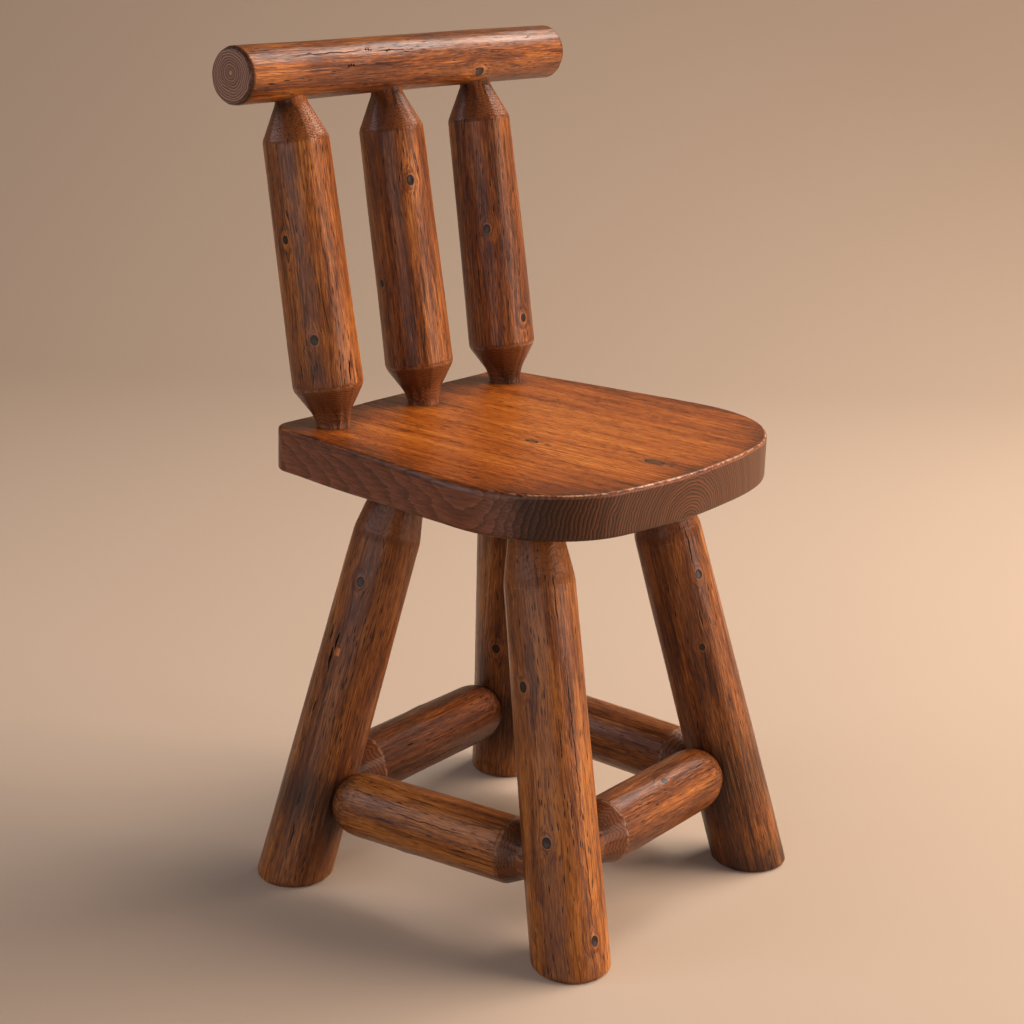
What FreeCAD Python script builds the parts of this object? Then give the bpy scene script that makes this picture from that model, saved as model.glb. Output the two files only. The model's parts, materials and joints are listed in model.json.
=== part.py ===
import FreeCAD, Part
import math
import os

# A low log chair: a slab seat on four splayed log legs tied by four log stretchers, with a back of
# three log spindles under a crest log. Every joint is a blind round tenon locked by a wedge inside it.
# Lengths are millimetres and angles degrees. +Z is up and the sitter faces -Y, so the sitter's right
# hand is at -X. The origin is on the floor, midway between the rear right foot and the crest's left end
# in X, and midway between the front of the feet and the back of the crest in Y.

# Seat slab
SEAT_HEIGHT = 450.0          # floor to the seat's top
SEAT_THICKNESS = 43.0
SEAT_DEPTH = 384.0           # back edge to the middle of the front edge
SEAT_BACK_WIDTH = 344.0      # across the back edge, before its corners are rounded
SEAT_SIDE_SPLAY = 6.3        # each side opens towards the front
SEAT_FRONT_BOW = 500.0       # radius of the bowed front edge
SEAT_BACK_CORNER = 18.0
SEAT_FRONT_CORNER = 118.0
SEAT_TOP_ROUNDING = 3.0
SEAT_UNDER_ROUNDING = 3.0
SEAT_X = -12.8               # the seat's middle
SEAT_BACK_Y = 180.8

# Legs
LEG_FOOT_DIAMETER = 76.0     # on the floor
LEG_SHOULDER_DIAMETER = 69.0
LEG_NECK_DIAMETER = 45.0     # where the neck meets the seat
LEG_NECK_LENGTH = 67.0
LEG_FOOT_ROUNDING = 4.0
LEG_TENON_DIAMETER = 40.0
LEG_TENON_LENGTH = 27.0      # along the leg, above the seat's underside
FRONT_LEG_SPREAD = 188.0     # between the two legs at the seat's underside
FRONT_LEG_INSET = 126.0      # from the seat's front edge
FRONT_LEG_SIDE_SPLAY = 7.8
FRONT_LEG_RAKE = 14.6
REAR_LEG_SPREAD = 162.0
REAR_LEG_INSET = 91.0        # from the seat's back edge
REAR_LEFT_SIDE_SPLAY = 11.1
REAR_LEFT_RAKE = 8.2
REAR_RIGHT_SIDE_SPLAY = 14.5     # bored by eye, wider than its neighbour
REAR_RIGHT_RAKE = 6.6

# Stretchers
STRETCHER_DIAMETER = 65.0
STRETCHER_NECK_DIAMETER = 48.0
STRETCHER_NECK_LENGTH = 27.0     # cone between the full log and the leg
STRETCHER_SHOULDER_ROUNDING = 8.0
STRETCHER_TENON_DIAMETER = 32.0
STRETCHER_TENON_LENGTH = 20.0    # into the leg
FRONT_STRETCHER_HEIGHTS = (99.0, 104.0)      # at its right and left legs
REAR_STRETCHER_HEIGHTS = (89.0, 90.0)
RIGHT_STRETCHER_HEIGHTS = (84.0, 89.0)       # at its rear and front legs
LEFT_STRETCHER_HEIGHTS = (89.0, 89.0)

# Back spindles
SPINDLE_LOWER_DIAMETER = 71.0
SPINDLE_UPPER_DIAMETER = 65.0
SPINDLE_LOWER_NECK = 34.0        # diameter of the tenon in the seat
SPINDLE_UPPER_NECK = 33.0        # diameter of the tenon in the crest
SPINDLE_COLLAR_DIAMETER = 41.0   # between the lower cone and the neck
SPINDLE_COLLAR_HEIGHT = 14.0     # above the seat
SPINDLE_LOWER_SHOULDER = 38.0    # above the seat
SPINDLE_UPPER_SHOULDER = 33.0    # below the crest
SPINDLE_SPACING = 130.0          # at the seat
SPINDLE_TOP_SPACING = 133.0      # at the crest
SPINDLE_TOP_SHIFT = -4.0         # sideways, of all three at the crest
SPINDLE_INSET = 41.5             # from the seat's back edge
SPINDLE_SEAT_TENON = 30.0        # length in the seat
SPINDLE_CREST_TENON = 28.0       # length in the crest

# Crest log
CREST_LENGTH = 459.0
CREST_X = 7.7                    # its middle
CREST_DIAMETER = 56.0
CREST_END_CHAMFER = 3.5
CREST_HEIGHT = 329.0             # its axis above the seat's top
BACK_LEAN = 9.5                  # of the middle spindle, from upright

# Joints
JOINT_GAP = 0.15                 # glue line round a tenon and under a scribed shoulder
MORTISE_END_GAP = 1.0            # past a tenon's end
WEDGE_GAP = 0.1                  # beside a wedge in its saw kerf
WEDGE_HEAD = 5.0                 # thickness at the tenon's end
WEDGE_TIP = 1.5
WEDGE_STOP = 6.0                 # from the wedge's thin end to the tenon's root
WEDGE_EDGE_MARGIN = 1.0          # between the wedge's ends and the mortise wall

X_AXIS = FreeCAD.Vector(1, 0, 0)
Y_AXIS = FreeCAD.Vector(0, 1, 0)
Z_AXIS = FreeCAD.Vector(0, 0, 1)
SEAT_UNDERSIDE = SEAT_HEIGHT - SEAT_THICKNESS
SEAT_FRONT_Y = SEAT_BACK_Y - SEAT_DEPTH
SPINDLE_Y = SEAT_BACK_Y - SPINDLE_INSET
CREST_Y = SPINDLE_Y + CREST_HEIGHT * math.tan(math.radians(BACK_LEAN))
CREST_Z = SEAT_HEIGHT + CREST_HEIGHT
CREST_RADIUS = CREST_DIAMETER / 2
OVERRUN = 60.0                   # how far a cutting shape runs past what it cuts
FUZZ = 1e-4                      # room for rounding when faces and edges are picked by place


def turned(profile, start, direction):
    """Solid turned about an axis: profile holds (radius, distance along the axis) pairs."""
    outline = [(0.0, profile[0][1])] + profile + [(0.0, profile[-1][1])]
    points = [FreeCAD.Vector(radius, 0, along) for radius, along in outline]
    face = Part.Face(Part.makePolygon(points + points[:1]))
    solid = face.revolve(FreeCAD.Vector(), Z_AXIS, 360)
    solid.Placement = FreeCAD.Placement(start, FreeCAD.Rotation(Z_AXIS, direction))
    return solid


def rod(diameter, start, direction, length):
    """Round rod of one diameter."""
    return Part.makeCylinder(diameter / 2, length, start, direction)


def is_ring(edge, radius):
    """True for a full circle of the given radius."""
    if not (isinstance(edge.Curve, Part.Circle) and edge.isClosed()):
        return False
    return abs(edge.Curve.Radius - radius) < FUZZ


def wedge_block(tenon_end, outward, run, length, thickness_gap, width):
    """Tapered block in a tenon's end, thick at the end; run is the way its kerf was sawn."""
    side = outward.cross(run).normalize()
    run = side.cross(outward).normalize()
    head = WEDGE_HEAD / 2 + thickness_gap
    tip = WEDGE_TIP / 2 + thickness_gap
    base = tenon_end - run * (width / 2)
    inner = base - outward * length
    corners = [inner - side * tip, inner + side * tip, base + side * head, base - side * head]
    return Part.Face(Part.makePolygon(corners + corners[:1])).extrude(run * width)


def fox_wedge(tenon_end, outward, run, diameter, tenon_length):
    """A wedge for a blind tenon, and the kerf that it spreads."""
    length = tenon_length - WEDGE_STOP
    width = math.sqrt(diameter ** 2 - WEDGE_HEAD ** 2) - 2 * WEDGE_EDGE_MARGIN
    wedge = wedge_block(tenon_end, outward, run, length, 0.0, width)
    kerf = wedge_block(tenon_end, outward, run, length + WEDGE_GAP, WEDGE_GAP, diameter + OVERRUN)
    return wedge, kerf


class Leg:
    """A splayed leg: its axis from the floor to the seat's underside, and its taper."""

    def __init__(self, side, spread, top_y, side_splay, rake):
        self.top = FreeCAD.Vector(SEAT_X + side * spread / 2, top_y, SEAT_UNDERSIDE)
        shift_x = side * SEAT_UNDERSIDE * math.tan(math.radians(side_splay))
        shift_y = SEAT_UNDERSIDE * math.tan(math.radians(rake))
        self.foot = self.top + FreeCAD.Vector(shift_x, shift_y, -SEAT_UNDERSIDE)
        self.length = (self.top - self.foot).Length
        self.direction = (self.top - self.foot).normalize()
        self.shoulder = self.length - LEG_NECK_LENGTH

    def at_height(self, height):
        return self.foot + self.direction * (height / self.direction.z)

    def radius_at(self, height):
        along = height / self.direction.z
        change = LEG_SHOULDER_DIAMETER - LEG_FOOT_DIAMETER
        return (LEG_FOOT_DIAMETER + change * along / self.shoulder) / 2

    def log(self, gap):
        """The leg as a full log with a coned neck, run past the floor and the seat's underside."""
        foot_radius = LEG_FOOT_DIAMETER / 2 + gap
        shoulder_radius = LEG_SHOULDER_DIAMETER / 2 + gap
        neck_radius = LEG_NECK_DIAMETER / 2 + gap
        profile = [
            (foot_radius, -LEG_FOOT_DIAMETER / 2),
            (foot_radius, 0.0),
            (shoulder_radius, self.shoulder),
            (neck_radius, self.length),
            (neck_radius, self.length + LEG_NECK_DIAMETER / 2),
        ]
        return turned(profile, self.foot, self.direction)


class Stretcher:
    """A log between two legs, with a cone and a round tenon at each end; heights are at the legs' axes."""

    def __init__(self, legs, heights):
        self.ends = []
        starts = [leg.at_height(height) for leg, height in zip(legs, heights)]
        for leg, height, here, there in zip(legs, heights, starts, reversed(starts)):
            inward = (there - here).normalize()
            radius = leg.radius_at(height)
            tenon_end = here + inward * (radius - STRETCHER_TENON_LENGTH)
            self.ends.append((leg, inward, radius, tenon_end))
        self.start = starts[0]
        self.length = (starts[1] - starts[0]).Length

    def mortise(self, leg):
        """Blind round hole in the given leg, or None where the stretcher doesn't meet it."""
        for end_leg, inward, radius, tenon_end in self.ends:
            if end_leg is leg:
                bottom = tenon_end - inward * MORTISE_END_GAP
                depth = STRETCHER_TENON_LENGTH + MORTISE_END_GAP + radius
                return rod(STRETCHER_TENON_DIAMETER + 2 * JOINT_GAP, bottom, inward, depth)
        return None

    def build(self):
        """The log with its shoulders scribed to the legs, and the wedges of its tenons."""
        full = STRETCHER_DIAMETER / 2
        neck = STRETCHER_NECK_DIAMETER / 2
        first, last = (end[2] for end in self.ends)
        cone_ends = [first + STRETCHER_NECK_LENGTH, self.length - last - STRETCHER_NECK_LENGTH]
        profile = [(neck, 0.0), (neck, first), (full, cone_ends[0])]
        profile += [(full, cone_ends[1]), (neck, self.length - last), (neck, self.length)]
        log = turned(profile, self.start, self.ends[0][1])
        shoulders = [edge for edge in log.Edges if is_ring(edge, full)]
        log = log.makeFillet(STRETCHER_SHOULDER_ROUNDING, shoulders)
        for leg, inward, radius, tenon_end in self.ends:
            log = log.cut(leg.log(JOINT_GAP))
        wedges = []
        for leg, inward, radius, tenon_end in self.ends:
            reach = STRETCHER_TENON_LENGTH + STRETCHER_NECK_LENGTH
            log = log.fuse(rod(STRETCHER_TENON_DIAMETER, tenon_end, inward, reach))
            run = inward.cross(leg.direction)
            wedge, kerf = fox_wedge(tenon_end, inward * -1, run, STRETCHER_TENON_DIAMETER,
                                    STRETCHER_TENON_LENGTH)
            log = log.cut(kerf)
            wedges.append(wedge)
        return log.removeSplitter(), wedges


def build_leg(leg, stretchers):
    """A leg with its foot cut level, a tenon above its neck and a mortise for each stretcher."""
    reach = LEG_FOOT_DIAMETER + OVERRUN
    corner = FreeCAD.Vector(min(leg.foot.x, leg.top.x) - reach, min(leg.foot.y, leg.top.y) - reach, 0)
    width = abs(leg.foot.x - leg.top.x) + 2 * reach
    depth = abs(leg.foot.y - leg.top.y) + 2 * reach
    room = Part.makeBox(width, depth, SEAT_UNDERSIDE, corner)
    log = leg.log(0.0).common(room)
    rim = [edge for edge in log.Edges if edge.BoundBox.ZMax < FUZZ]
    log = log.makeFillet(LEG_FOOT_ROUNDING, rim)
    tenon_start = leg.top - leg.direction * LEG_NECK_LENGTH
    log = log.fuse(rod(LEG_TENON_DIAMETER, tenon_start, leg.direction, LEG_NECK_LENGTH + LEG_TENON_LENGTH))
    tenon_end = leg.top + leg.direction * LEG_TENON_LENGTH
    wedge, kerf = fox_wedge(tenon_end, leg.direction, X_AXIS, LEG_TENON_DIAMETER, LEG_TENON_LENGTH)
    log = log.cut(kerf)
    for stretcher in stretchers:
        mortise = stretcher.mortise(leg)
        if mortise:
            log = log.cut(mortise)
    return log.removeSplitter(), wedge


def leg_mortise(leg):
    """Blind round hole in the seat's underside for a leg's tenon."""
    start = leg.top - leg.direction * LEG_TENON_DIAMETER
    length = LEG_TENON_DIAMETER + LEG_TENON_LENGTH + MORTISE_END_GAP
    return rod(LEG_TENON_DIAMETER + 2 * JOINT_GAP, start, leg.direction, length)


class Spindle:
    """A leaning back log; place is -1, 0 or 1 from the sitter's right to left."""

    def __init__(self, place):
        self.foot = FreeCAD.Vector(SEAT_X + place * SPINDLE_SPACING, SPINDLE_Y, SEAT_HEIGHT)
        head_x = SEAT_X + SPINDLE_TOP_SHIFT + place * SPINDLE_TOP_SPACING
        self.head = FreeCAD.Vector(head_x, CREST_Y, CREST_Z)
        self.direction = (self.head - self.foot).normalize()
        self.crest_face = (self.head - self.foot).Length - CREST_RADIUS

    def build(self):
        """The turned log, coned at both ends to its tenons, and its two wedges."""
        lower_tenon = SPINDLE_LOWER_NECK / 2
        upper_tenon = SPINDLE_UPPER_NECK / 2
        neck_top = lower_tenon * math.tan(math.radians(BACK_LEAN))
        profile = [
            (lower_tenon, -SPINDLE_SEAT_TENON),
            (lower_tenon, neck_top),
            (SPINDLE_COLLAR_DIAMETER / 2, SPINDLE_COLLAR_HEIGHT),
            (SPINDLE_LOWER_DIAMETER / 2, SPINDLE_LOWER_SHOULDER),
            (SPINDLE_UPPER_DIAMETER / 2, self.crest_face - SPINDLE_UPPER_SHOULDER),
            (upper_tenon, self.crest_face - JOINT_GAP),
            (upper_tenon, self.crest_face + SPINDLE_CREST_TENON),
        ]
        log = turned(profile, self.foot, self.direction)
        seat_end = self.foot - self.direction * SPINDLE_SEAT_TENON
        crest_end = self.foot + self.direction * (self.crest_face + SPINDLE_CREST_TENON)
        low = fox_wedge(seat_end, self.direction * -1, X_AXIS, SPINDLE_LOWER_NECK, SPINDLE_SEAT_TENON)
        high = fox_wedge(crest_end, self.direction, Y_AXIS, SPINDLE_UPPER_NECK, SPINDLE_CREST_TENON)
        log = log.cut(low[1]).cut(high[1])
        return log.removeSplitter(), low[0], high[0]

    def seat_mortise(self):
        start = self.foot - self.direction * (SPINDLE_SEAT_TENON + MORTISE_END_GAP)
        length = SPINDLE_SEAT_TENON + MORTISE_END_GAP + SPINDLE_LOWER_NECK
        return rod(SPINDLE_LOWER_NECK + 2 * JOINT_GAP, start, self.direction, length)

    def crest_mortise(self):
        start = self.foot + self.direction * (self.crest_face - CREST_RADIUS)
        length = CREST_RADIUS + SPINDLE_CREST_TENON + MORTISE_END_GAP
        return rod(SPINDLE_UPPER_NECK + 2 * JOINT_GAP, start, self.direction, length)


def seat_plan():
    """Plan of the slab: straight back edge, opening sides and a bowed front edge, corners sharp."""
    half_back = SEAT_BACK_WIDTH / 2
    slope = math.tan(math.radians(SEAT_SIDE_SPLAY))
    # The side x = half_back + slope * t, t forward of the back edge, meets the bow's circle.
    centre = SEAT_DEPTH - SEAT_FRONT_BOW
    a = 1 + slope ** 2
    b = half_back * slope - centre
    c = half_back ** 2 + centre ** 2 - SEAT_FRONT_BOW ** 2
    forward = (-b + math.sqrt(b ** 2 - a * c)) / a
    half_front = half_back + slope * forward

    def plan_point(x, ahead):
        return FreeCAD.Vector(SEAT_X + x, SEAT_BACK_Y - ahead, SEAT_UNDERSIDE)

    back_right, back_left = plan_point(-half_back, 0), plan_point(half_back, 0)
    front_right, front_left = plan_point(-half_front, forward), plan_point(half_front, forward)
    bow = Part.Arc(front_right, plan_point(0, SEAT_DEPTH), front_left)
    edges = [
        Part.makeLine(back_left, back_right),
        Part.makeLine(back_right, front_right),
        bow.toShape(),
        Part.makeLine(front_left, back_left),
    ]
    return Part.Wire(edges)


def build_seat(legs, spindles):
    """The slab with rounded corners and eased edges, and a blind mortise for every tenon."""
    slab = Part.Face(seat_plan()).extrude(Z_AXIS * SEAT_THICKNESS)
    middle = SEAT_BACK_Y - SEAT_DEPTH / 2

    def uprights(front):
        tall = [edge for edge in slab.Edges if edge.BoundBox.ZLength > SEAT_THICKNESS / 2]
        return [edge for edge in tall if (edge.CenterOfMass.y < middle) == front]

    slab = slab.makeFillet(SEAT_FRONT_CORNER, uprights(True))
    slab = slab.makeFillet(SEAT_BACK_CORNER, uprights(False))
    top = [edge for edge in slab.Edges if edge.BoundBox.ZMin > SEAT_HEIGHT - FUZZ]
    slab = slab.makeFillet(SEAT_TOP_ROUNDING, top)
    under = [edge for edge in slab.Edges if edge.BoundBox.ZMax < SEAT_UNDERSIDE + FUZZ]
    slab = slab.makeFillet(SEAT_UNDER_ROUNDING, under)
    for leg in legs:
        slab = slab.cut(leg_mortise(leg))
    for spindle in spindles:
        slab = slab.cut(spindle.seat_mortise())
    return slab


def build_crest(spindles):
    """The crest log with chamfered ends and a blind mortise over each spindle."""
    half = CREST_LENGTH / 2
    face_radius = CREST_RADIUS - CREST_END_CHAMFER
    profile = [
        (face_radius, -half),
        (CREST_RADIUS, CREST_END_CHAMFER - half),
        (CREST_RADIUS, half - CREST_END_CHAMFER),
        (face_radius, half),
    ]
    log = turned(profile, FreeCAD.Vector(CREST_X, CREST_Y, CREST_Z), X_AXIS)
    for spindle in spindles:
        log = log.cut(spindle.crest_mortise())
    return log


front_y = SEAT_FRONT_Y + FRONT_LEG_INSET
rear_y = SEAT_BACK_Y - REAR_LEG_INSET
legs = {
    "front_right": Leg(-1, FRONT_LEG_SPREAD, front_y, FRONT_LEG_SIDE_SPLAY, -FRONT_LEG_RAKE),
    "front_left": Leg(1, FRONT_LEG_SPREAD, front_y, FRONT_LEG_SIDE_SPLAY, -FRONT_LEG_RAKE),
    "rear_right": Leg(-1, REAR_LEG_SPREAD, rear_y, REAR_RIGHT_SIDE_SPLAY, REAR_RIGHT_RAKE),
    "rear_left": Leg(1, REAR_LEG_SPREAD, rear_y, REAR_LEFT_SIDE_SPLAY, REAR_LEFT_RAKE),
}
stretchers = {
    "front": Stretcher([legs["front_right"], legs["front_left"]], FRONT_STRETCHER_HEIGHTS),
    "rear": Stretcher([legs["rear_right"], legs["rear_left"]], REAR_STRETCHER_HEIGHTS),
    "right": Stretcher([legs["rear_right"], legs["front_right"]], RIGHT_STRETCHER_HEIGHTS),
    "left": Stretcher([legs["rear_left"], legs["front_left"]], LEFT_STRETCHER_HEIGHTS),
}
spindles = {"right": Spindle(-1), "middle": Spindle(0), "left": Spindle(1)}

nodes = {
    "seat": build_seat(legs.values(), spindles.values()),
    "crest_rail": build_crest(spindles.values()),
}
wedges = {"leg_wedges": [], "stretcher_wedges": [], "spindle_seat_wedges": [], "spindle_crest_wedges": []}
for name, leg in legs.items():
    nodes["leg_" + name], wedge = build_leg(leg, stretchers.values())
    wedges["leg_wedges"].append(wedge)
for name, stretcher in stretchers.items():
    nodes["stretcher_" + name], pair = stretcher.build()
    wedges["stretcher_wedges"] += pair
for name, spindle in spindles.items():
    nodes["spindle_" + name], seat_wedge, crest_wedge = spindle.build()
    wedges["spindle_seat_wedges"].append(seat_wedge)
    wedges["spindle_crest_wedges"].append(crest_wedge)
for name, group in wedges.items():
    nodes[name] = Part.makeCompound(group)

os.makedirs("parts", exist_ok=True)
for name, shape in nodes.items():
    shape.exportStep("parts/" + name + ".step")
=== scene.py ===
import json
import math

import bpy
import numpy as np
from mathutils import Matrix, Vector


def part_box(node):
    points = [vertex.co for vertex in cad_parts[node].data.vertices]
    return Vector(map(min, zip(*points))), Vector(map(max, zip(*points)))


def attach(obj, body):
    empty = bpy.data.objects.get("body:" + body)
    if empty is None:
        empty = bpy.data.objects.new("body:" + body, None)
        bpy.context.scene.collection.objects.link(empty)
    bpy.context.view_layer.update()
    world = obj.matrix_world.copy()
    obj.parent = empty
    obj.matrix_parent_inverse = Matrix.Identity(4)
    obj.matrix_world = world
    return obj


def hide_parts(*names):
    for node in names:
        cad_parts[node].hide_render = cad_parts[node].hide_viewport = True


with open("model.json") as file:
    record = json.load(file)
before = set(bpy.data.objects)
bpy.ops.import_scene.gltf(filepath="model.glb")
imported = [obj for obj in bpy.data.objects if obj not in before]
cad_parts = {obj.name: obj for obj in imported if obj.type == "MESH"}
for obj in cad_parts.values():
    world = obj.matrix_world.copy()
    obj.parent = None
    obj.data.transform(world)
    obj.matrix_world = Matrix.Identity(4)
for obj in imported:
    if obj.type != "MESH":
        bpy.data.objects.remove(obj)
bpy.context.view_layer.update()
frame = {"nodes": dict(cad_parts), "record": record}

# Legs
# Four peeled softwood logs, thicker at the foot, splayed sideways and fore and aft. Each is sawn level at the
# foot, coned to a neck under the seat, and held by a round tenon that is glued and wedged into the slab.
MM = 1000.0                      # millimetres in a metre
LEG_FOOT_RADIUS = 38.0
LEG_SHOULDER_RADIUS = 34.5
LEG_NECK_RADIUS = 22.5
LEG_NECK_LENGTH = 67.0
LEG_FOOT_ROUNDING = 5.0
LEG_CUT = 0.12                   # how much of the end grain's look the neck's cone has
LEG_TENON_RADIUS = 20.0
LEG_TENON_LENGTH = 27.0
FRONT_SPLAY, FRONT_RAKE = 7.8, -14.6      # degrees, sideways and fore and aft
REAR_RIGHT_SPLAY, REAR_RIGHT_RAKE = 14.5, 6.6
REAR_LEFT_SPLAY, REAR_LEFT_RAKE = 11.1, 8.2
SKIN_STEP = 1.8                  # between rings along a log
RING_COUNT = 220                 # points round a log
KNOT_REACH = 4.0                 # how far a knot turns the grain, in knot radii
CRACK_DEPTH = 1.1                # of a crack, in its own widths
CRACK_CROWDING = 0.8             # how strongly the points of a ring crowd to its cracks
CHIP_DEPTH = 1.1
CONE_FLATS = 11                  # drawknife flats round a cone
CONE_FLAT_SHARE = 0.35           # how much of each flat the sanding left
SHOULDER_WEAR_AND_HIGHLIGHT = 1.3              # reach of the pale wear line beside a cone's shoulder, which is also a painted highlight
LOBES = ((1, 0.3, 0.012), (2, 0.3, 0.012), (3, 0.2, 0.015), (5, 0.12, 0.02), (9, 0.09, 0.05),
         (14, 0.06, 0.08), (19, 0.05, 0.1), (26, 0.04, 0.13))    # count round a log, height, most lean per mm
PITH_REACH = 3.0                 # how far the pith may lie beside a log's axis
KNOT_LENGTH = 1.25               # of a knot along the grain, in its own widths
KNOT_SWELL, KNOT_LIP, KNOT_DENT = 0.12, 0.07, 0.08    # swelling, lip and sunk core, in knot radii
CORNER_REACH = 2.4               # either side of a profile's corner, where the rings lie closer
FINE_STEP = 0.4                  # between rings at short cracks and at chips
SHORT_CRACK = 12.0
PROFILE_OVERRUN = 60.0           # of a leg's profile, past the floor and the seat's underside
FOOT_SLIDE = 60.0                # end of a leg, over which its rings turn level to the floor
SEAT_SLIDE = 18.0                # and to the seat's underside
FOOT_RINGS, NECK_RINGS = 44, 19  # in those two ends
FOOT_CROWDING = 1.4              # power that draws the foot's rings to the floor

seat_low, seat_high = (np.array(corner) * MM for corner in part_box("seat"))


class Log:
    """A peeled log: its axis from start to end in mm, its turned profile and the marks on its skin.

    turn is the angle round the axis, counted from +X, or from +Y on a log that lies along X, and along is the
    distance from start. The profile holds (along, radius, cut) rows, where cut is 1 on a sawn face, less on a
    cone and 0 on the skin. A knot is (degrees round, along, radius). A crack is (degrees round, from, to,
    width), and follows the spiral of the grain in degrees per 100 mm. A chip is (degrees round, along, half
    its width, half its length). A dark patch is (along, reach): darker stain and dirt, with painted shade
    where the log meets another part or the floor. draw is the number that the lobes and the pith are drawn
    with, shade is how much paler or darker the log's stain is drawn, which paints light on some logs and
    shade on others, and blend is how far either side of a corner the sanding rounds it.
    """

    def __init__(self, start, end, profile, draw, spiral=0.0, knots=(), cracks=(), chips=(), dark=(),
                 shade=0.0, blend=1.5):
        self.start = np.array(start, float)
        span = np.array(end, float) - self.start
        self.length = np.linalg.norm(span)
        self.axis = span / self.length
        side = np.array((0.0, 1.0, 0.0)) if abs(self.axis[0]) > 0.7 else np.array((1.0, 0.0, 0.0))
        side -= self.axis * (side @ self.axis)
        self.side = side / np.linalg.norm(side)
        self.other = np.cross(self.axis, self.side)
        self.profile = np.array(profile, float)
        self.draw = draw
        self.spiral = math.radians(spiral) / 100.0
        self.knots = [(math.radians(angle), along, radius) for angle, along, radius in knots]
        self.cracks = [(math.radians(angle), low, high, width) for angle, low, high, width in cracks]
        self.chips = [(math.radians(angle), along, wide, tall) for angle, along, wide, tall in chips]
        self.dark = dark
        self.shade = shade
        self.blend = blend
        edges = np.flatnonzero(np.diff(self.profile[:, 2] > 0))
        self.shoulders = self.profile[edges + 1, 0]
        # How strong each shoulder's pale line is, wear with a painted highlight
        self.wear_and_highlight_share = np.clip(0.8 * self.profile[:, 2][edges[:, None] + (0, 1)].max(1) - 0.42, 0, 1)
        random = np.random.default_rng(draw)
        self.lobes = [(count, height, random.uniform(0, 2 * math.pi), random.uniform(-lean, lean))
                      for count, height, lean in LOBES]
        self.pith = random.uniform(-PITH_REACH, PITH_REACH, 2)

    def blended(self, along, column):
        """A column of the profile, with each of its corners blended over a short stretch."""
        window = np.linspace(-self.blend, self.blend, 9)
        return np.interp(along[..., None] + window, self.profile[:, 0], self.profile[:, column]).mean(-1)

    def turned(self, along):
        """Radius of the turned shape."""
        return self.blended(along, 1)

    def cut(self, along):
        """1 where the grain is cut across by a cone or a saw, 0 on the peeled skin."""
        return self.blended(along, 2)

    def points(self, turn, along, radius):
        across = np.cos(turn)[..., None] * self.side + np.sin(turn)[..., None] * self.other
        return self.start + along[..., None] * self.axis + radius[..., None] * across

    def turns(self):
        """Angles of the points in a ring, crowded round the first crack: turn = u - c sin(u - crack)."""
        even = np.linspace(0, 2 * math.pi, RING_COUNT, endpoint=False)
        angle, low, high, _ = self.cracks[0]
        middle = angle - self.spiral * ((low + high) / 2 - self.length / 2)
        return even - CRACK_CROWDING * np.sin(even - middle)

    def spun(self, turn, along):
        """Angles of the points as each line of them follows the log's spiral grain."""
        return turn + self.spiral * (along - self.length / 2)

    def stations(self, first, last):
        """Places of the rings along the log: even steps, with finer ones at the corners of the profile and at
        the short cracks and chips."""
        even = np.arange(first, last, SKIN_STEP)
        fine = np.linspace(-CORNER_REACH, CORNER_REACH, 9)
        short = [np.arange(low - 1, high + 1, FINE_STEP) for _, low, high, _ in self.cracks
                 if high - low < SHORT_CRACK]
        short += [np.arange(along - tall - 1, along + tall + 1, FINE_STEP)
                  for _, along, _, tall in self.chips]
        places = np.concatenate([even, (self.profile[:, :1] + fine).ravel(), [last], *short])
        return np.unique(np.clip(np.round(places, 1), first, last))

    def beside(self, turn, along, radius, angle, place):
        """Distance round the skin from the line of the spiral grain through an angle and a place."""
        swing = turn - angle - self.spiral * (along - place)
        return (np.mod(swing + math.pi, 2 * math.pi) - math.pi) * radius

    def knot_offsets(self, turn, along, radius):
        """For each knot: offsets round and along the skin in mm, and the distance in knot radii."""
        for angle, place, size in self.knots:
            round_skin = self.beside(turn, along, radius, angle, place)
            lengthwise = along - place
            yield round_skin, lengthwise, np.hypot(round_skin, lengthwise / KNOT_LENGTH) / size, size

    def crack_share(self, turn, along, radius):
        """1 in the middle of a crack and 0 beside it, and the crack's depth in mm; the crack wavers a little
        and tapers to its ends."""
        share, groove = np.zeros(np.shape(along)), np.zeros(np.shape(along))
        for angle, low, high, width in self.cracks:
            waver = 0.4 * np.sin(along / 5.3 + low) + 0.3 * np.sin(along / 2.1 + high)
            aside = np.abs(self.beside(turn, along, radius, angle, (low + high) / 2) + waver)
            part = np.sqrt(np.clip((along - low) * (high - along) / (0.25 * (high - low) ** 2), 0, 1))
            here = np.clip(1 - aside / (0.5 * width * part + 1e-6), 0, 1) * part
            share = np.maximum(share, here)
            groove = np.maximum(groove, here * CRACK_DEPTH * width)
        return share, groove

    def chip_share(self, turn, along, radius):
        """1 where a flake of the skin broke out, 0 elsewhere."""
        share = np.zeros(np.shape(along))
        for angle, place, wide, tall in self.chips:
            aside = np.abs(self.beside(turn, along, radius, angle, place)) - wide
            beyond = np.abs(along - place) - tall
            share = np.maximum(share, np.clip(0.5 - np.maximum(aside, beyond), 0, 1))
        return share

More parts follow.
